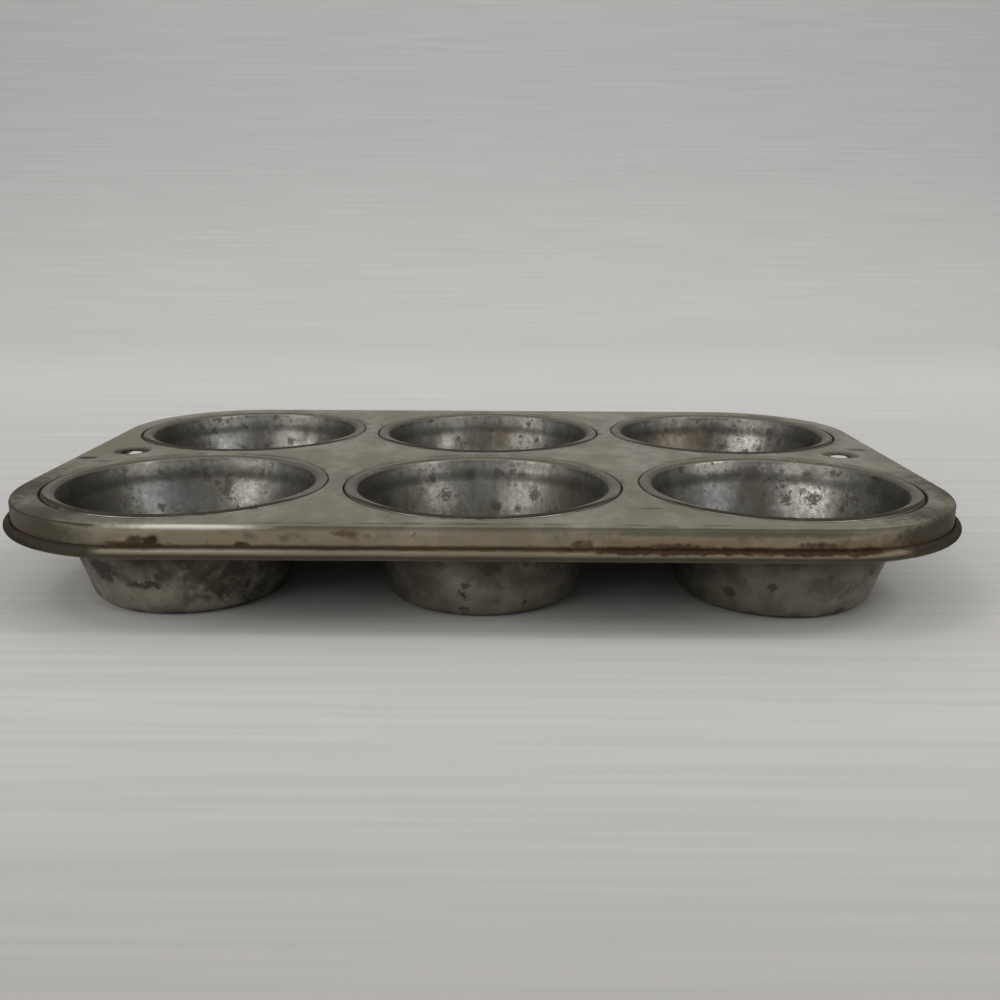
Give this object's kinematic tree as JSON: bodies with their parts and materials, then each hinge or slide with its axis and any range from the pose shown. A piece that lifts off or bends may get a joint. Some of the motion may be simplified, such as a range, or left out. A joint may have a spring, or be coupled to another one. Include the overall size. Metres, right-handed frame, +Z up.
{
  "type": "muffin pan",
  "caption": "Muffin pan of thin tinned steel: round tapering cups seamed into a flat frame with rounded corners, a turned-down skirt, a wired edge and a hanging hole at each end.",
  "frame": {"origin": "middle of the pan's footprint, on the surface that the cups' floors stand on", "axes": "+X to the right along the rows of cups as pictured, +Y to the back, +Z up out of the cups"},
  "size_m": [0.2648, 0.1802, 0.0311],
  "materials": {
    "frame_tin": "old satin tinplate, dulled and lightly rusted",
    "cup_tin": "brighter drawn tinplate, stained and scratched by use",
    "wire_steel": "plain drawn wire, hidden in the rolled edge"
  },
  "bodies": {
    "root": {"pan_frame": "frame_tin", "rim_wire": "wire_steel", "cup_front_left": "cup_tin", "cup_front_middle": "cup_tin", "cup_front_right": "cup_tin", "cup_back_left": "cup_tin", "cup_back_middle": "cup_tin", "cup_back_right": "cup_tin"}
  },
  "joints": []
}
